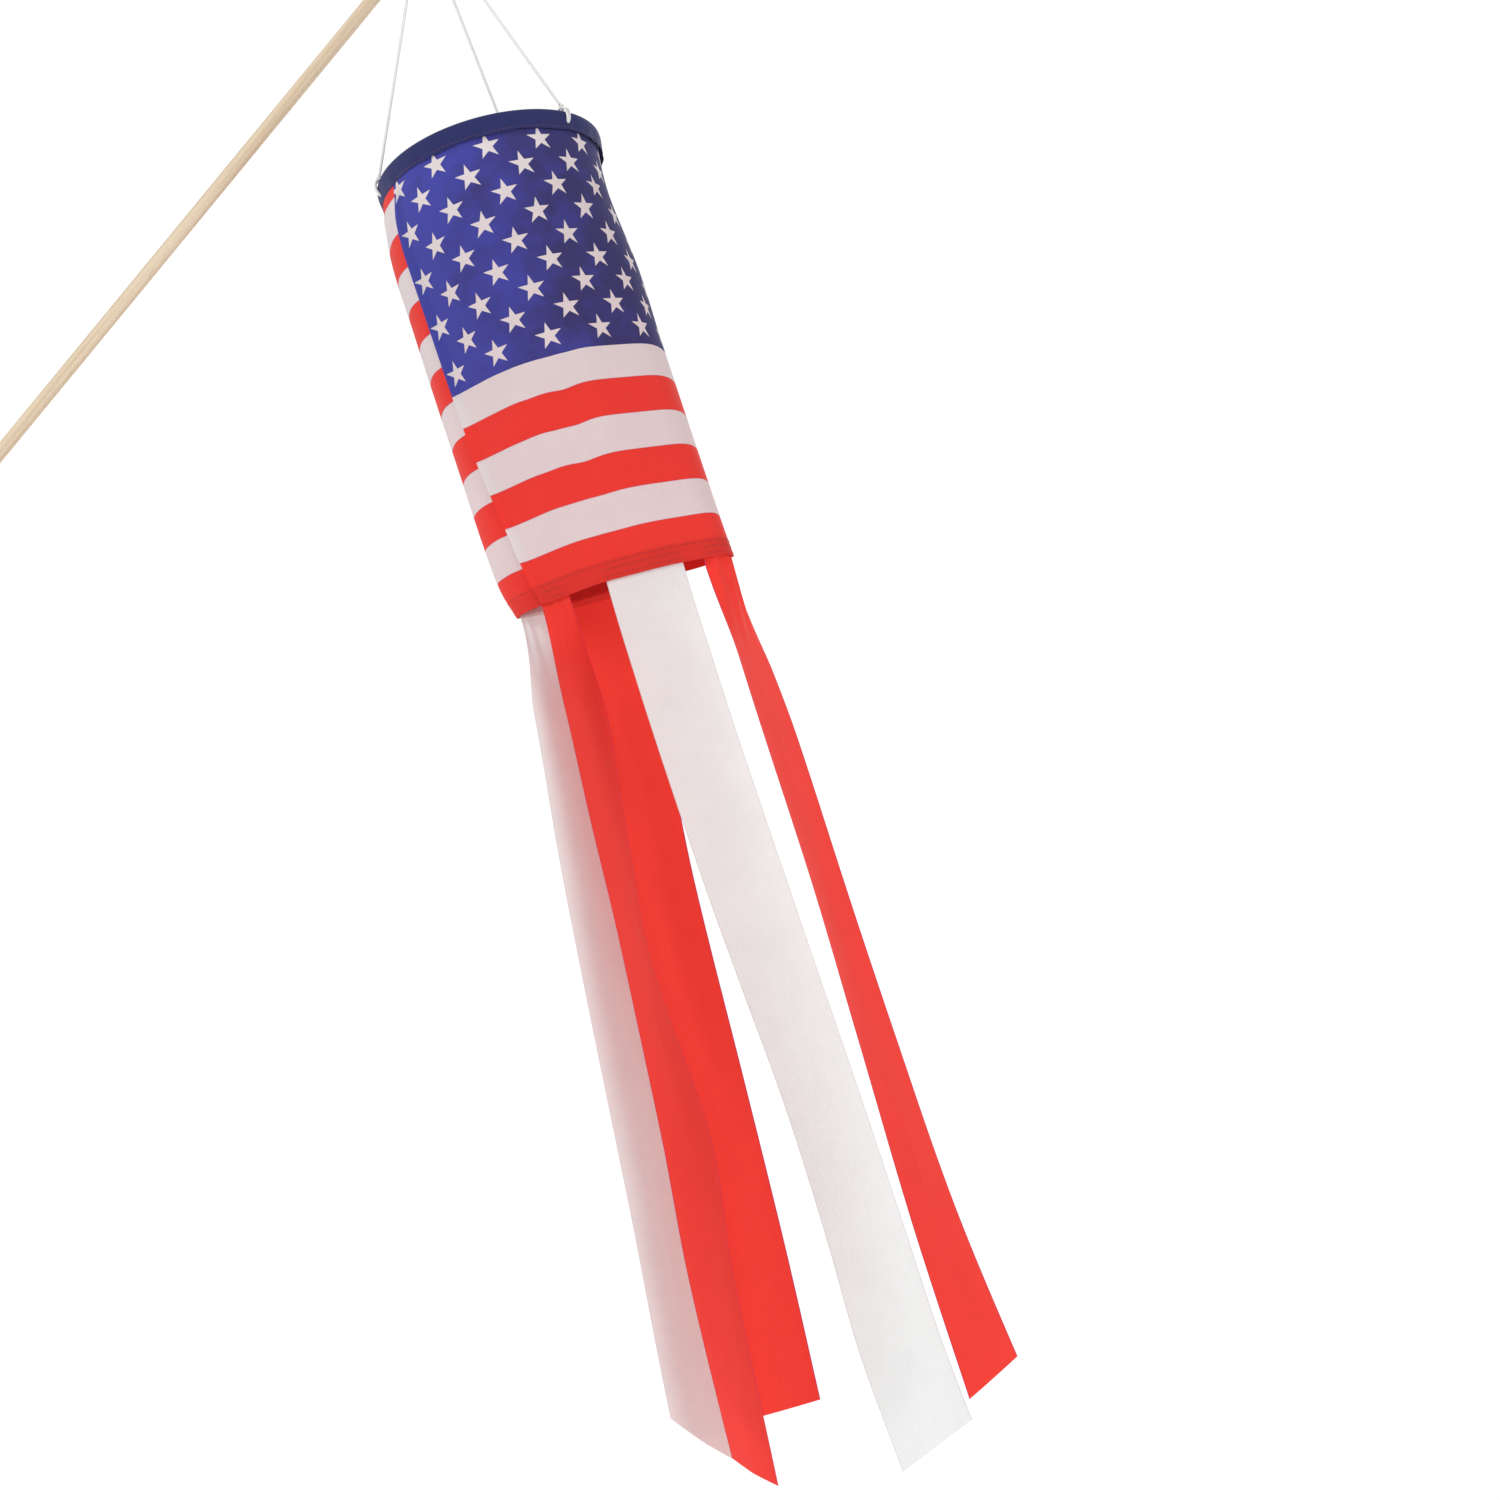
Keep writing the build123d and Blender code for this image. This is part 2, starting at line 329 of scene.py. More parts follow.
def plain_cloth(name, ink, through=THROUGH, tint=None):
    """One dyed cloth. Its UV map runs from 0 to 1 across the strip, so that both cut edges can be darker."""
    n = Nodes(name)
    place = n.place()
    colour = dyed(n, place, ink)
    if tint:
        u, v = n.uv("strip")[1:]
        side = n.math("ABSOLUTE", n.math("SUBTRACT", u, 0.5))
        edge = n.math("MULTIPLY_ADD", side, 50.0, -24.1, clamp=True)
        colour = n.mix(n.math("MULTIPLY", edge, 0.8), colour, tint)
        # Painted shade: the top of the strip, sewn inside the hem, is two cloths thick and is painted darker
        sewn = n.math("LESS_THAN", v, 0.0)
        colour = n.mix(n.math("MULTIPLY", sewn, 0.30), colour, DOUBLE_CLOTH_SHADE)
    normal = n.bump(weave(n, place), WEAVE_STRENGTH, WEAVE_DEPTH)
    return n.finish(colour, normal, CLOTH_ROUGH, CLOTH_SHEEN, through, CLOTH_SHINE)


def thread(name, ink):
    n = Nodes(name)
    place = n.place()
    twist = n.wave(place, 900.0, "DIAGONAL", 1.0)
    colour = dyed(n, place, ink, 0.1)
    return n.finish(colour, n.bump(twist, 0.5, 0.0001), 0.6, 0.1)


def braided_cord():
    n = Nodes("braided_cord")
    place = n.place()
    one = n.wave(n.stretch(place, (1.0, 1.0, 0.6)), 420.0, "DIAGONAL", 0.4)
    two = n.wave(n.stretch(place, (-1.0, -1.0, 0.6)), 420.0, "DIAGONAL", 0.4)
    braid = n.math("MAXIMUM", one, two)
    low, high = (0.66, 0.655, 0.64, 1), (0.79, 0.79, 0.78, 1)
    colour = n.mix(n.math("MULTIPLY_ADD", braid, 0.6, 0.4), low, high)
    fuzz = n.noise(place, 1500.0, 3.0)
    height = n.math("ADD", braid, n.math("MULTIPLY", fuzz, 0.4))
    return n.finish(colour, n.bump(height, 0.35, 0.0003), 0.75, 0.2)


def dowel_wood():
    """Pale straight-grained wood, long thin grain lines along the dowel and a few soft patches."""
    n = Nodes("dowel_wood")
    turn = n.add("ShaderNodeMapping", vector_type="POINT")
    n.link(n.place(), turn.inputs["Vector"])
    turn.inputs["Rotation"].default_value = (0, POLE_LEAN, 0)
    along = n.stretch(turn.outputs[0], (4.0, 260.0, 260.0))
    pores = n.noise(n.stretch(turn.outputs[0], (60.0, 2600.0, 2600.0)), 1.0, 3.0, 0.6)
    grain = n.noise(along, 1.0, 5.0, 0.62)
    ramp = n.add("ShaderNodeValToRGB")
    ramp.color_ramp.elements[0].position = 0.30
    ramp.color_ramp.elements[0].color = (0.52, 0.36, 0.215, 1)
    ramp.color_ramp.elements[1].position = 0.72
    ramp.color_ramp.elements[1].color = (0.76, 0.63, 0.46, 1)
    middle = ramp.color_ramp.elements.new(0.5)
    middle.color = (0.68, 0.54, 0.37, 1)
    n.link(grain, ramp.inputs[0])
    patch = n.noise(n.stretch(turn.outputs[0], (9.0, 30.0, 30.0)), 1.0, 2.0)
    pale = n.math("MULTIPLY_ADD", patch, 0.9, -0.2, clamp=True)
    colour = n.mix(pale, ramp.outputs[0], (0.74, 0.62, 0.47, 1))
    fleck = n.math("MULTIPLY_ADD", pores, -6.0, 2.4, clamp=True)
    colour = n.mix(n.math("MULTIPLY", fleck, 0.45), colour, (0.34, 0.22, 0.13, 1))
    rough = n.math("MULTIPLY_ADD", grain, 0.2, 0.45)
    height = n.math("ADD", grain, n.math("MULTIPLY", fleck, -0.6))
    return n.finish(colour, n.bump(height, 0.35, 0.0003), rough)


def hoop_plastic():
    n = Nodes("hoop_plastic")
    place = n.place()
    cloud = n.noise(place, 60.0, 3.0)
    colour = n.mix(cloud, (0.72, 0.71, 0.68, 1), (0.82, 0.81, 0.79, 1))
    return n.finish(colour, n.bump(n.noise(place, 700.0, 2.0), 0.2, 0.0002), 0.5)


PRINTED = print_cloth()
NAVY = plain_cloth("navy_casing_cloth", NAVY_INK, CASING_THROUGH)
RED = plain_cloth("red_streamer_cloth", RED_INK, THROUGH, (0.34, 0.010, 0.16, 1))
WHITE = plain_cloth("white_streamer_cloth", STREAMER_WHITE, STREAMER_THROUGH, (0.62, 0.59, 0.58, 1))
RED_THREAD = thread("red_thread", (0.45, 0.02, 0.02, 1))
BLUE_THREAD = thread("blue_thread", (0.10, 0.03, 0.12, 1))
WHITE_THREAD = thread("white_thread", (0.75, 0.72, 0.72, 1))
CORD = braided_cord()
WOOD = dowel_wood()
PLASTIC = hoop_plastic()


# ---------------------------------------------------------------- mesh helpers
def mesh_piece(name, points, faces, material, uvs=None, uv_name="print"):
    mesh = bpy.data.meshes.new(name)
    mesh.from_pydata(points, [], faces)
    mesh.materials.append(material)
    if uvs:
        layer = mesh.uv_layers.new(name=uv_name)
        for loop in mesh.loops:
            layer.data[loop.index].uv = uvs[loop.vertex_index]
    for polygon in mesh.polygons:
        polygon.use_smooth = True
    piece = bpy.data.objects.new(name, mesh)
    bpy.context.scene.collection.objects.link(piece)
    return piece


def grid_faces(rows, columns):
    faces = []
    for i in range(rows - 1):
        for j in range(columns - 1):
            k = i * columns + j
            faces.append((k, k + 1, k + columns + 1, k + columns))
    return faces


def tube_mesh(name, points, radius, material, sides=10, closed=False):
    """A round tube along a line of points, with a steady frame carried from point to point."""
    count = len(points)
    verts, faces = [], []
    up = Vector((0, 0, 1))
    first = (points[1] - points[0]).normalized()
    side = first.cross(up)
    if side.length < 0.1:
        side = first.cross(Vector((1, 0, 0)))
    side.normalize()
    for i, point in enumerate(points):
        before = points[(i - 1) % count] if closed else points[max(i - 1, 0)]
        after = points[(i + 1) % count] if closed else points[min(i + 1, count - 1)]
        along = (after - before).normalized()
        side = (side - along * side.dot(along)).normalized()
        other = along.cross(side)
        for j in range(sides):
            turn = 2 * math.pi * j / sides
            verts.append(point + (side * math.cos(turn) + other * math.sin(turn)) * radius)
    spans = count if closed else count - 1
    for i in range(spans):
        for j in range(sides):
            a = i * sides + j
            b = i * sides + (j + 1) % sides
            c = ((i + 1) % count) * sides + (j + 1) % sides
            d = ((i + 1) % count) * sides + j
            faces.append((a, b, c, d))
    if not closed:
        faces.append(tuple(range(sides - 1, -1, -1)))
        faces.append(tuple(range((count - 1) * sides, count * sides)))
    return mesh_piece(name, verts, faces, material)


def join(pieces, name):
    """Joins meshes that share one place into one piece."""
    verts, faces, mats = [], [], []
    for piece in pieces:
        start = len(verts)
        verts += [v.co.copy() for v in piece.data.vertices]
        for polygon in piece.data.polygons:
            faces.append(tuple(start + k for k in polygon.vertices))
        material = piece.data.materials[0]
        bpy.data.objects.remove(piece)
    return mesh_piece(name, verts, faces, material)


def between(rows, drop):
    """Smooth reading of the rows at a drop, by a curve through them all."""
    for i in range(len(rows) - 1):
        if drop <= rows[i + 1][0] or i == len(rows) - 2:
            break
    span = rows[i + 1][0] - rows[i][0]
    t = min(max((drop - rows[i][0]) / span, 0.0), 1.0)
    before = rows[max(i - 1, 0)]
    after = rows[min(i + 2, len(rows) - 1)]
    values = []
    for k in range(1, len(rows[0])):
        p0, p1, p2, p3 = before[k], rows[i][k], rows[i + 1][k], after[k]
        m1 = (p2 - p0) / max(rows[i + 1][0] - before[0], 1) * span
        m2 = (p3 - p1) / max(after[0] - rows[i][0], 1) * span
        a = 2 * t ** 3 - 3 * t ** 2 + 1
        b = t ** 3 - 2 * t ** 2 + t
        c = -2 * t ** 3 + 3 * t ** 2
        d = t ** 3 - t ** 2
        values.append(a * p1 + b * m1 + c * p2 + d * m2)
    return values


# ---------------------------------------------------------------- the sock's surface
def hem_share(drop):
    return min(max(drop / TUBE_LEN, 0.0), 1.0)


# Creases: angle, drop, how the crease slants (degrees for each mm), width in degrees, depth in mm
CREASES = [(8.0, 172.0, -0.35, 5.0, 1.5), (-8.0, 200.0, 0.30, 5.0, 1.3), (2.0, 222.0, -0.15, 6.0, 1.4),
           (-15.0, 236.0, 0.25, 6.0, 1.2), (30.0, 62.0, 0.30, 7.0, 1.3), (12.0, 96.0, -0.25, 6.0, 1.0)]


def wrinkle(theta, drop):
    """How far the cloth stands off its smooth shape, in millimetres."""
    share = hem_share(drop)
    loose = smooth((drop - 14.0) / 90.0)
    out = loose * 0.7 * math.sin(math.radians(theta * 5 + 40) + share * 1.6)
    out += loose * 0.45 * math.sin(math.radians(theta * 9 - 20) - share * 2.2)
    out += loose * share * 0.8 * math.sin(math.radians(theta * 3 + 70))
    out -= 2.0 * bell(theta, 4.0 + (drop - 200.0) * 0.04, 6.0) * bell(drop, 205.0, 50.0)
    out += 1.3 * bell(theta, 16.0, 9.0) * bell(drop, 205.0, 60.0)
    # Puckers below the three cord loops
    for i in range(3):
        cord_theta = -90.0 + FIRST_CORD + CORD_GAP_DEG * i
        away = (theta - cord_theta + 180.0) % 360.0 - 180.0
        out += 1.2 * bell(away, 0.0, 7.0) * bell(drop, 24.0, 6.0)
        out -= 0.8 * bell(away, 0.0, 14.0) * bell(drop, 40.0, 16.0)
    # Flat facets with soft creases between them, on the striped part
    for centre, low, tilt, wide, deep in CREASES:
        line = centre + (drop - low) * tilt
        out -= deep * bell(theta, line, wide) * bell(drop, low, 34.0)
    return out


def cloth_point(theta, drop, out):
    """The printed tube: theta in degrees, 0 towards the viewer, drop below the hoop plane."""
    share = hem_share(drop)
    turn = math.radians(theta)
    flat = share ** 1.1
    drift, half_x = between(OUTLINE, min(max(drop, 0.0), TUBE_LEN))
    depth = BOTTOM_FRONT if math.cos(turn) > 0 else BOTTOM_REAR
    half_y = mix(HOOP_R, depth, flat)
    far = out + wrinkle(theta, drop)
    normal = Vector((math.sin(turn) / half_x, -math.cos(turn) / half_y)).normalized()
    x = half_x * math.sin(turn) + normal.x * far + drift
    y = -half_y * math.cos(turn) + normal.y * far
    rise = share ** 3 * (6.0 * max(0.0, -math.cos(turn)) - 3.0 * max(0.0, math.cos(turn)))
    return sock_at(x, y, drop - rise)


def tube_profile():
    """Rows of (drop, out, row of the print) from the top edge down to the turned-up bottom hem."""
    rows = [(3.0, 0.1, 3.0)]
    steps = 60
    for i in range(1, steps + 1):
        drop = mix(3.0, TUBE_LEN, i / steps)
        rows.append((drop, 0.35, drop))
    rows.append((TUBE_LEN + 0.35, 0.1, TUBE_LEN + 0.3))
    rows.append((TUBE_LEN + 0.35, -0.35, TUBE_LEN + 0.6))
    inner_steps = 5
    for i in range(inner_steps + 1):
        drop = mix(TUBE_LEN - 0.3, TUBE_LEN - BOTTOM_HEM, i / inner_steps)
        rows.append((drop, -0.55, TUBE_LEN + 0.6))
    return rows


def seam_drift(drop):
    """Degrees that the lapped seam has wandered round by this drop."""
    return 7.0 * smooth((drop - 180.0) / 110.0)


def print_uv(theta, drop, ink):
    """Star column and star row at a place on the cloth; the print swings round a little below the hoop."""
    half_x = between(OUTLINE, min(max(drop, 0.0), TUBE_LEN))[1]
    side = math.sin(math.radians(theta))
    pull = bell(drop, 48.0, 26.0)
    swing = 0.216 * ink / 150.0 + (0.32 + 0.10 * side) * pull
    column = FRONT_COL + theta / COL_TURN_DEG * half_x / COL_HALF_X - swing
    return column, ink / STAR_STEP_ROW - FIRST_ROW + 0.25 * max(side, 0.0) * pull


def printed_tube():
    columns = 181
    points, uvs = [], []
    rows = tube_profile()
    for drop, out, ink in rows:
        for j in range(columns):
            part = j / (columns - 1)
            theta = SEAM_DEG + 360.0 * part
            # The lap: the starred end's edge lies over the other end, whose stripes sit lower
            theta += seam_drift(drop) * (bell(part, 0.0, 0.12) + bell(part, 1.0, 0.12))
            lap = 1.3 * bell(part, 0.0, 0.010) - 0.7 * bell(part, 1.0, 0.02)
            points.append(cloth_point(theta, drop, out + lap * smooth((drop - 14) / 20)))
            lower = LAP_STEP * smooth((part - 0.72) / 0.2)
            uvs.append(print_uv(theta, drop, ink - lower))
    return mesh_piece("printed_tube", points, grid_faces(len(rows), columns), PRINTED, uvs)


def casing_cloth():
    """Navy cloth folded over the hoop, both edges sewn down together below it."""
    profile = []
    steps = 5
    for i in range(steps):
        drop = mix(CASING_DROP - 0.5, CASING_R + 0.6, i / (steps - 1))
        near = smooth((CASING_DROP - drop) / (CASING_DROP - CASING_R))
        profile.append((drop, -mix(0.8, CASING_R, near)))
    steps = 12
    for i in range(1, steps):
        turn = math.pi * (1 - i / steps)
        profile.append((-CASING_R * math.sin(turn), CASING_R * math.cos(turn)))
    steps = 7
    for i in range(steps):
        drop = mix(CASING_R * 0.4, CASING_DROP, i / (steps - 1))
        near = smooth((drop - 1.0) / (CASING_DROP - 1.0))
        profile.append((drop, mix(CASING_R, 1.15, near)))
    columns = 241
    points = []
    for drop, out in profile:
        for j in range(columns):
            theta = 360.0 * j / (columns - 1)
            low = smooth(drop / CASING_DROP) if drop > 0 else 0.0
            ripple = 0.25 * math.sin(math.radians(theta * 23))
            ripple += 0.2 * math.sin(math.radians(theta * 37 + 50))
            turn = math.radians(theta)
            far = HOOP_R + out + ripple * low
            edge = 0.35 * math.sin(math.radians(theta * 11 + 15)) * low
            points.append(sock_at(HOOP_SHIFT + far * math.sin(turn), -far * math.cos(turn), drop + edge))
    return mesh_piece("casing_cloth", points, grid_faces(len(profile), columns), NAVY)


# ---------------------------------------------------------------- streamers
# For each streamer: its cloth, where the two edges of its top are sewn (degrees round the hem), how
# far it is pleated there, rows of drop below the hem, centre x, centre y and turn about Z in
# degrees, then the trim of its two edges.
NEAR_Y, FAR_Y = -28.8, 28.8
STREAMERS = {
    "streamer_red_front": (RED, (-52.0, -31.0), 1.0, [
        (0, -36, -5, 67), (75, -35, -6, 61), (150, -39, -7, 64), (235, -43.5, -8, 71),
        (360, -44.5, -9, 59), (445, -53, -10, 64), (576, -60, -11, 66)], 16, 0),
    "streamer_white_front": (WHITE, (-9.0, 33.0), 0.0, [
        (0, 24.5, NEAR_Y, 0), (84, 26, NEAR_Y - 2, 3), (200, 31, NEAR_Y - 5, 11),
        (284, 35.5, NEAR_Y - 7, 21), (364, 40, NEAR_Y - 9, 26), (450, 43, NEAR_Y - 10, 20),
        (524, 45, NEAR_Y - 11, 8), (598, 51, NEAR_Y - 12, 4)], 0, 20),
    "streamer_red_right": (RED, (48.0, 97.0), 2.2, [
        (0, 72.5, 0, 73), (100, 75.5, 0, 70), (224, 79, 0, 68), (330, 82, 0, 60),
        (444, 86.5, 0, 51), (562, 96, 0, 40)], 0, 23),
    "streamer_white_rear": (WHITE, (174.0, 149.0), 2.0, [
        (0, 32, 14, -40), (150, 32, 14, -46), (300, 34, 20, -42), (430, 38, 26, -40),
        (545, 42, 30, -38)], 0, 14),
    "streamer_red_rear": (RED, (220.0, 178.0), 0.0, [
        (0, -11, 20, 0), (60, -14, FAR_Y - 4, 3), (120, -19.5, FAR_Y + 4, 3), (190, -24.5, FAR_Y + 7, 0),
        (320, -28, FAR_Y + 10, 5), (430, -31.5, FAR_Y + 12, 5), (527, -36, FAR_Y + 13, 2)], 0, 0),
    "streamer_white_left": (WHITE, (265.0, 223.0), 0.8, [
        (0, -49, -2, 58), (90, -54, -1, 57), (164, -59.5, 1, 53), (244, -64.5, 3, 49),
        (324, -69, 5, 44), (404, -74, 6, 41), (484, -80, 6, 40), (557, -84, 6, 39)], 34, 0),
}


SEWN_OUT = -1.4
OPEN_BY = 75.0


def streamer(name, place):
    """One strip: its top is sewn flat or in small pleats inside the hem, then it opens and turns."""
    material, sewn, pleat, rows, trim_low, trim_high = STREAMERS[name]
    columns = 25
    length = rows[-1][0]
    steps = 110
    points, uvs = [], []
    phase = place * 1.7
    for i in range(steps + 1):
        for j in range(columns):
            part = j / (columns - 1)
            across = (part - 0.5) * STREAMER_W
            side = part * 2 - 1
            trim = mix(trim_low, trim_high, part)
            drop = mix(-TAB_H, length - trim, i / steps)
            x, y, turn = between(rows, max(drop, 0.0))
            angle = math.radians(turn)
            curl = 1.6 * math.sin(drop / 95.0 + phase) * side
            curl += 1.2 * math.sin(drop / 41.0 + phase * 2.3) * (1 - abs(side))
            curl += 2.2 * side ** 2 * math.sin(drop / 160.0 + phase)
            free = smooth(drop / 120.0)
            wide = Vector((math.cos(angle), math.sin(angle)))
            off = Vector((-wide.y, wide.x)) * curl * free
            hanging = sock_at(x + wide.x * across + off.x, y + wide.y * across + off.y, TUBE_LEN + drop)
            fold = pleat * (0.5 + 0.5 * math.cos(part * math.pi * 6)) * smooth((drop + TAB_H) / 14.0)
            theta = mix(sewn[0], sewn[1], part)
            top = cloth_point(theta, TUBE_LEN + min(drop, 0.0), SEWN_OUT - fold)
            if drop > 0:
                top.z = hanging.z
            points.append(top.lerp(hanging, smooth(drop / OPEN_BY)))
            uvs.append((part, drop / STREAMER_W))
    piece = mesh_piece(name, points, grid_faces(steps + 1, columns), material, uvs, "strip")
    piece.name = name + "_cloth"
    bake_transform(piece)
    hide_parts(name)


# ---------------------------------------------------------------- cords, loops and knots
def route_cord(name, points):
    curve = bpy.data.curves.new(name, "CURVE")
    curve.dimensions = "3D"
    spline = curve.splines.new("NURBS")
    spline.points.add(len(points) - 1)
    for target, point in zip(spline.points, points):
        target.co = (*point, 1)
    spline.order_u = 3
    spline.use_endpoint_u = True
    spline.resolution_u = 24
    curve.bevel_depth = CORD_R * MM
    curve.bevel_resolution = 4
    curve.use_fill_caps = True
    curve.materials.append(CORD)
    piece = bpy.data.objects.new(name, curve)
    bpy.context.scene.collection.objects.link(piece)
    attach(piece, "sock")
    return piece


def trefoil(centre, size, radius, name, tilt):
    points = []
    for i in range(72):
        t = 2 * math.pi * i / 72
        x = math.sin(t) + 2 * math.sin(2 * t)
        y = math.cos(t) - 2 * math.cos(2 * t)
        z = -math.sin(3 * t) * 1.3
        points.append(centre + tilt @ (Vector((x, y, z)) * size * MM))
    return tube_mesh(name, points, radius * MM, CORD, 8, closed=True)


# Bridle cords: points in millimetres from the hoop's centre, z upwards
KNOT_UP = 187.6
BRIDLE = {
    "bridle_cord_left": [
        (-1.66, -2.08, 186.91), (-2.0, -7.8, 183.6), (-6.6, -8.5, 172.0),
        (-71.84, -17.88, 8.16)],
    "bridle_cord_front": [
        (1.66, -2.08, 186.91), (2.0, -7.8, 183.6), (5.4, -10.3, 172.0),
        (53.89, -45.63, 8.18)],
    "bridle_cord_rear": [
        (0.0, 2.61, 186.73), (0.0, 7.8, 183.6), (1.2, 11.9, 172.0),
        (17.52, 69.46, 8.18)],
}


def bridle():
    for name, route in BRIDLE.items():
        points = [sock_at(x, y, -z) for x, y, z in route]
        piece = route_cord(name + "_line", points)
        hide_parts(name)


def hem_loops():
    names = ["hem_loop_left", "hem_loop_front", "hem_loop_rear"]
    for i, name in enumerate(names):
        turn = math.radians(FIRST_CORD + CORD_GAP_DEG * i + (FRONT_LOOP_ON if i == 1 else 0.0))
        out = Vector((-math.cos(turn), -math.sin(turn), 0))
        side = Vector((0, 0, 1)).cross(out)
        centre = sock_at(HOOP_SHIFT, 0, 0) + out * HOOP_R * MM
        points = []
        steps = 80
        for k in range(steps):
            # Two turns side by side
            t = 4 * math.pi * k / steps
            x = 3.9 * math.sin(t) * (1.0 + 0.12 * math.cos(t))
            z = 5.8 * math.cos(t) - 0.8
            sway = 1.5 * math.cos(t / 2)
            points.append(centre + (out * x + side * sway + Vector((0, 0, z))) * MM)
        loop = tube_mesh(name + "_cord", points, 0.85 * MM, CORD, 10, closed=True)
        tilt = Matrix.Rotation(turn, 3, "Z") @ Matrix.Rotation(math.radians(80), 3, "X")
        knot = trefoil(centre + Vector((0, 0, 6.4 * MM)), 0.48, 0.65, name + "_knot", tilt)
        piece = join([loop, knot], name + "_line")
        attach(piece, "sock")
        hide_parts(name)


def tip_ties():
    across = Vector((0, 1, 0))
    normal = POLE_DIR.cross(across).normalized()
    points = []
    turns = 3
    steps = 36
    for k in range(turns * steps + 1):
        t = 2 * math.pi * k / steps
        along = (k / (turns * steps) - 0.5) * turns * 2.0
        around = across * math.cos(t) * COIL_R + normal * math.sin(t) * COIL_R
        points.append(GRIP + (around + POLE_DIR * along) * MM)
    coil = tube_mesh("tip_coil", points, CORD_R * 0.98 * MM, CORD, 12)
    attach(coil, "lashing")
    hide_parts("tip_lashing")
    centre = sock_at(0, 0, -KNOT_UP)
    tilt = Matrix.Rotation(math.radians(30), 3, "Y") @ Matrix.Rotation(math.radians(20), 3, "X")
    body = trefoil(centre, 0.72, 1.0, "knot_body", tilt)
    ends = [[(-0.8, 0.6, 1.2), (-3.2, 2.0, 4.2), (-6.8, 2.6, 5.6)],
            [(0.8, -0.6, 1.2), (2.4, -1.6, 4.8), (5.6, -1.8, 7.6)]]
    tails = []
    for number, route in enumerate(ends):
        first, bend, last = [centre + Vector(p) * MM for p in route]
        line = []
        for k in range(13):
            t = k / 12
            line.append(first * (1 - t) ** 2 + bend * 2 * t * (1 - t) + last * t * t)
        tails.append(tube_mesh("tail_%d" % number, line, 0.9 * MM, CORD, 10))
    piece = join([body] + tails, "bridle_knot_line")
    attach(piece, "sock")
    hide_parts("bridle_knot")


# ---------------------------------------------------------------- stitches
def stitch_row(name, path, material, gap=3.2, size=2.3, radius=0.22):
    """Single stitches along a line of points: short rounded bars with a gap between them."""
    verts, faces = [], []
    lengths = [0.0]
    for a, b in zip(path, path[1:]):
        lengths.append(lengths[-1] + (b - a).length)
    total = lengths[-1]
    count = max(1, int(total / (gap * MM)))

    def at(distance):
        distance = min(max(distance, 0.0), total)
        for i in range(len(lengths) - 1):
            if lengths[i + 1] >= distance:
                break
        span = max(lengths[i + 1] - lengths[i], 1e-9)
        return path[i].lerp(path[i + 1], (distance - lengths[i]) / span)

    sides = 6
    for k in range(count):
        start = (k + 0.5) * total / count - size * MM / 2
        rings = [(0.0, 0.45), (0.2, 1.0), (0.8, 1.0), (1.0, 0.45)]
        base = len(verts)
        for share, width in rings:
            here = at(start + size * MM * share)
            ahead = at(start + size * MM * share + 0.2 * MM) - at(start + size * MM * share - 0.2 * MM)
            if ahead.length < 1e-9:
                ahead = Vector((0, 0, 1))
            ahead.normalize()
            side = ahead.cross(Vector((0.13, 0.21, 0.97)))
            if side.length < 0.2:
                side = ahead.cross(Vector((0, 1, 0)))
            side.normalize()
            other = ahead.cross(side)
            for j in range(sides):
                turn = 2 * math.pi * j / sides
                verts.append(here + (side * math.cos(turn) + other * math.sin(turn)) * radius * width * MM)
        for r in range(len(rings) - 1):
            for j in range(sides):
                a = base + r * sides + j
                b = base + r * sides + (j + 1) % sides
                faces.append((a, b, b + sides, a + sides))
        faces.append(tuple(base + j for j in range(sides - 1, -1, -1)))
        faces.append(tuple(base + (len(rings) - 1) * sides + j for j in range(sides)))
    return mesh_piece(name, verts, faces, material)


def sewing():
    ring = []
    for j in range(361):
        turn = math.radians(j)
        far = HOOP_R + 1.35
        ring.append(sock_at(HOOP_SHIFT + far * math.sin(turn), -far * math.cos(turn), CASING_DROP - 1.8))
    top = stitch_row("top_hem_stitches", ring, BLUE_THREAD)
    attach(top, "sock")
    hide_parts("top_hem_stitching")
    ring = [cloth_point(j, TUBE_LEN - BOTTOM_HEM + 1.6, 0.55) for j in range(361)]
    low = stitch_row("bottom_hem_stitches", ring, RED_THREAD)
    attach(low, "sock")
    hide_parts("bottom_hem_stitching")
    rows = []
    for strip in STREAMERS.values():
        first, last = strip[1]
        for drop in (2.0, 6.5):
            line = [cloth_point(mix(first, last, k / 24), TUBE_LEN - drop, 0.5) for k in range(25)]
            rows.append(stitch_row("tack", line, RED_THREAD))
    tacks = join(rows, "streamer_tacks")
    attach(tacks, "sock")
    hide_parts("streamer_tabs")


# ---------------------------------------------------------------- put it together
SEAM_ROWS = 80


def sock():
    tube = printed_tube()
    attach(tube, "sock")
    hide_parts("sock_tube", "bottom_hem")
    casing = casing_cloth()
    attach(casing, "sock")
    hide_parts("hoop_casing", "top_hem")
    seam = []
    for edge in (0.4, 4.6, 8.6):
        line = []
        for k in range(SEAM_ROWS):
            drop = mix(16.0, TUBE_LEN - BOTTOM_HEM - 1.0, k / (SEAM_ROWS - 1))
            theta = SEAM_DEG + seam_drift(drop) + edge / HOOP_R * 57.3
            line.append((theta, drop))
        seam.append(line)
    points, uvs = [], []
    for k in range(SEAM_ROWS):
        for number, line in enumerate(seam):
            theta, drop = line[k]
            points.append(cloth_point(theta, drop, -0.5 - 0.25 * number))
            uvs.append(print_uv(theta, drop, drop))
    strip = mesh_piece("seam_allowance", points, grid_faces(SEAM_ROWS, len(seam)), PRINTED, uvs)
    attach(strip, "sock")
    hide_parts("lengthwise_seam")


def carried_over():
    for name, material in (("pole", WOOD), ("hoop", PLASTIC)):
        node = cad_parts[name]
        node.data.materials.clear()
        node.data.materials.append(material)


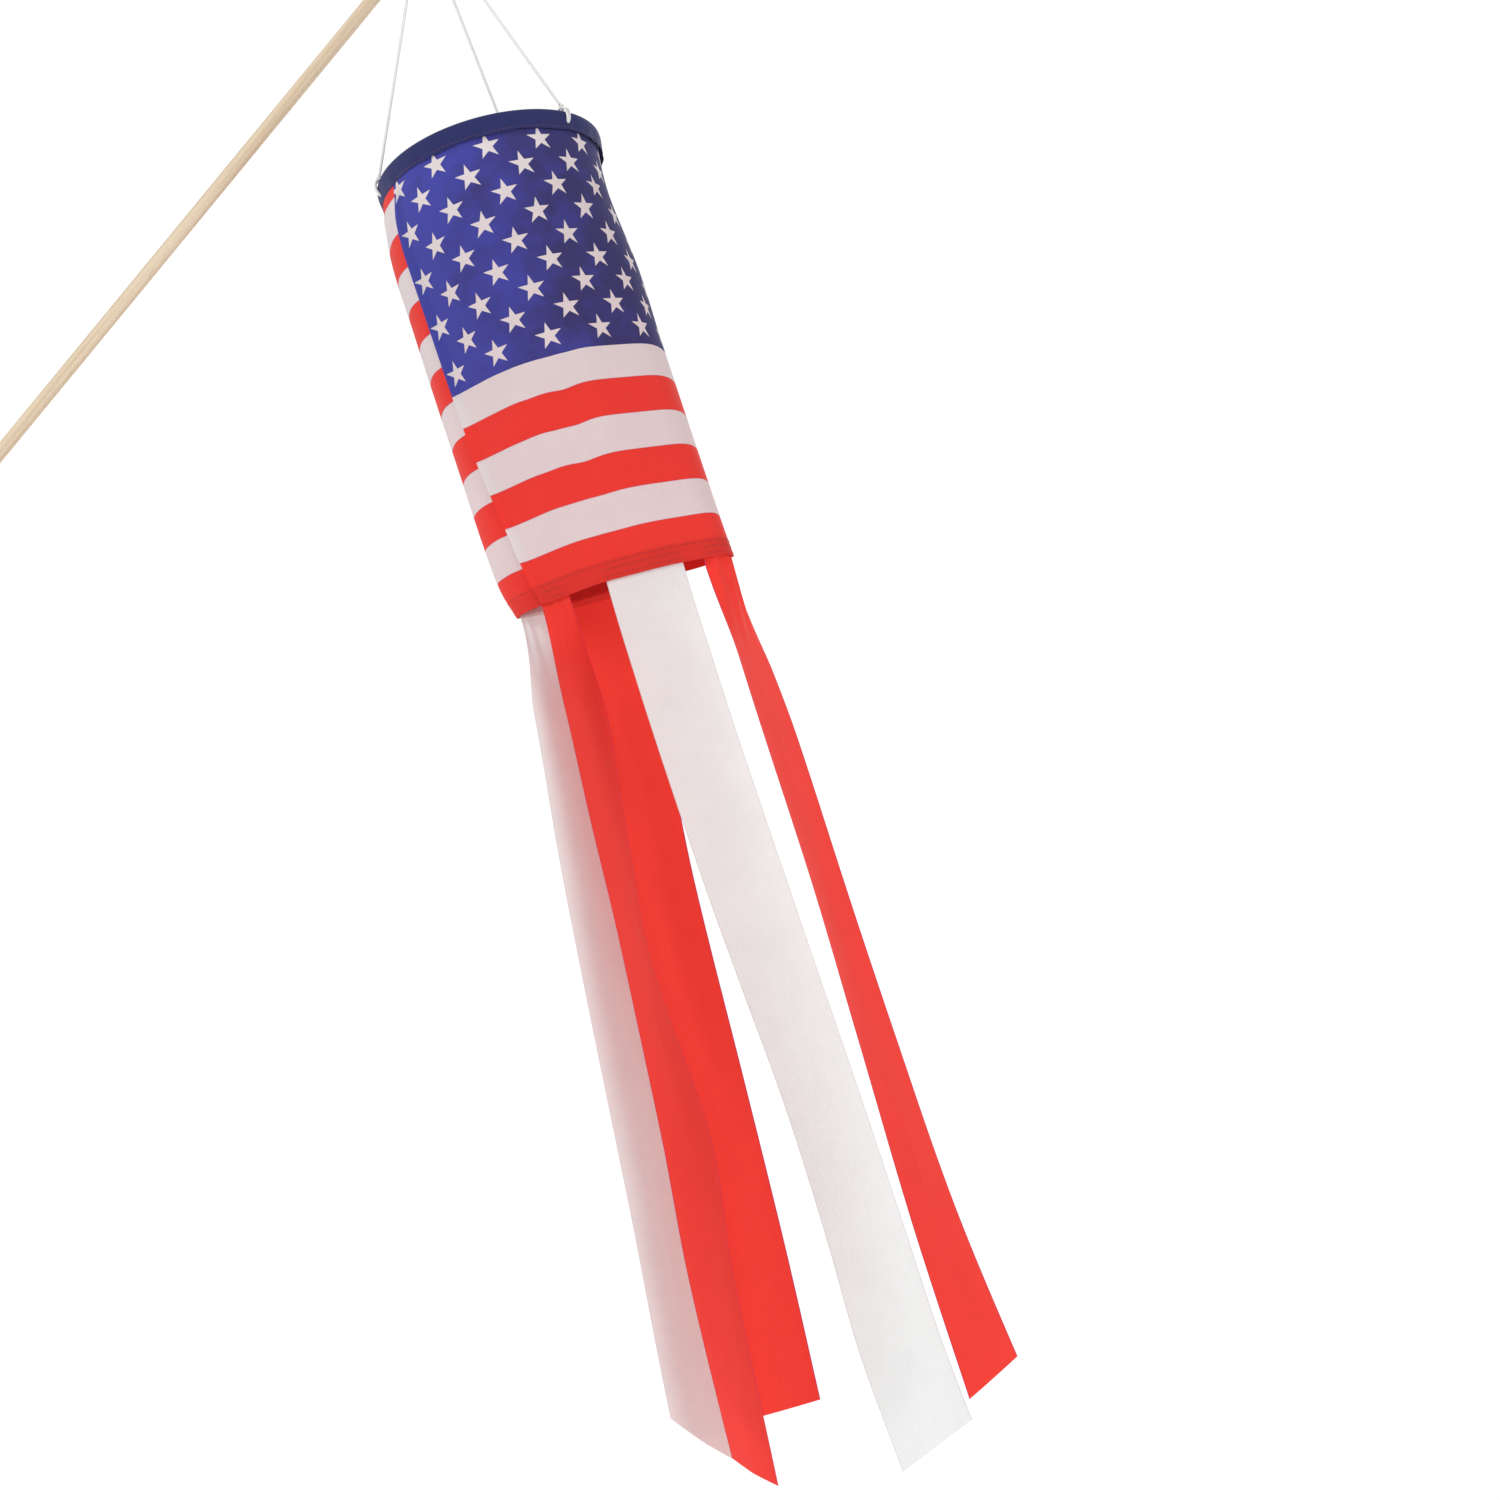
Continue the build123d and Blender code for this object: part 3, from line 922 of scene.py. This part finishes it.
bridle()
hem_loops()
tip_ties()
sock()
for number, name in enumerate(STREAMERS):
    streamer(name, number)
sewing()
carried_over()


# ---------------------------------------------------------------- floor, light and camera
def studio():
    n = Nodes("pale_floor")
    cloud = n.noise(n.place(), 0.8, 3.0)
    colour = n.mix(cloud, (0.90, 0.90, 0.90, 1), (0.94, 0.94, 0.94, 1))
    material = n.finish(colour, n.bump(n.noise(n.place(), 40.0), 0.05, 0.001), 0.8)
    floor_z = CAD_BOX[0].z - 1.1
    size = 30.0
    points = [(-size, -size, floor_z), (size, -size, floor_z), (size, size, floor_z), (-size, size, floor_z)]
    floor = mesh_piece("floor", points, [(0, 1, 2, 3)], material)
    world = bpy.data.worlds.new("studio")
    bpy.context.scene.world = world
    world.use_nodes = True
    tree = world.node_tree
    tree.nodes.clear()
    seen = tree.nodes.new("ShaderNodeBackground")
    seen.inputs["Color"].default_value = (1, 1, 1, 1)
    seen.inputs["Strength"].default_value = 1.05
    lit = tree.nodes.new("ShaderNodeBackground")
    lit.inputs["Color"].default_value = (1, 1, 1, 1)
    lit.inputs["Strength"].default_value = 0.62
    path = tree.nodes.new("ShaderNodeLightPath")
    both = tree.nodes.new("ShaderNodeMixShader")
    out = tree.nodes.new("ShaderNodeOutputWorld")
    tree.links.new(path.outputs["Is Camera Ray"], both.inputs[0])
    tree.links.new(lit.outputs[0], both.inputs[1])
    tree.links.new(seen.outputs[0], both.inputs[2])
    tree.links.new(both.outputs[0], out.inputs[0])


def area_light(name, place, target, size, power):
    data = bpy.data.lights.new(name, "AREA")
    data.shape = "DISK"
    data.size = size
    data.energy = power
    light = bpy.data.objects.new(name, data)
    light.location = place
    light.rotation_mode = "QUATERNION"
    light.rotation_quaternion = (Vector(target) - Vector(place)).to_track_quat("-Z", "Y")
    bpy.context.scene.collection.objects.link(light)


CAMERA_PITCH = math.radians(17.8)
CAMERA_ROLL = math.radians(-16.0)
CAMERA_BACK = Vector((0.057, -2.986, -1.392))


def camera():
    """A long lens low in front of the sock, looking up at it and rolled."""
    forward = Vector((0, math.cos(CAMERA_PITCH), math.sin(CAMERA_PITCH)))
    right = Vector((1, 0, 0))
    up = right.cross(forward)
    side = right * math.cos(CAMERA_ROLL) + up * math.sin(CAMERA_ROLL)
    top = up * math.cos(CAMERA_ROLL) - right * math.sin(CAMERA_ROLL)
    data = bpy.data.cameras.new("camera")
    data.lens = 120.0
    data.clip_start = 0.05
    data.clip_end = 100.0
    eye = bpy.data.objects.new("camera", data)
    spin = Matrix((side, top, -forward)).transposed()
    eye.matrix_world = Matrix.Translation(sock_at(0, 0, 0) + CAMERA_BACK) @ spin.to_4x4()
    bpy.context.scene.collection.objects.link(eye)
    bpy.context.scene.camera = eye


studio()
middle = sock_at(0, 0, 250)
area_light("key", middle + Vector((-2.4, -2.6, 1.6)), middle, 1.8, 58)
area_light("fill", middle + Vector((2.4, -2.2, -0.6)), middle + Vector((0, 0, -0.25)), 2.4, 34)
area_light("behind", middle + Vector((0.8, 3.0, 1.2)), middle, 2.4, 40)
area_light("left", middle + Vector((-2.8, 1.4, -0.6)), middle + Vector((0, 0, -0.3)), 2.0, 26)
camera()
bpy.context.scene.view_settings.view_transform = "Standard"
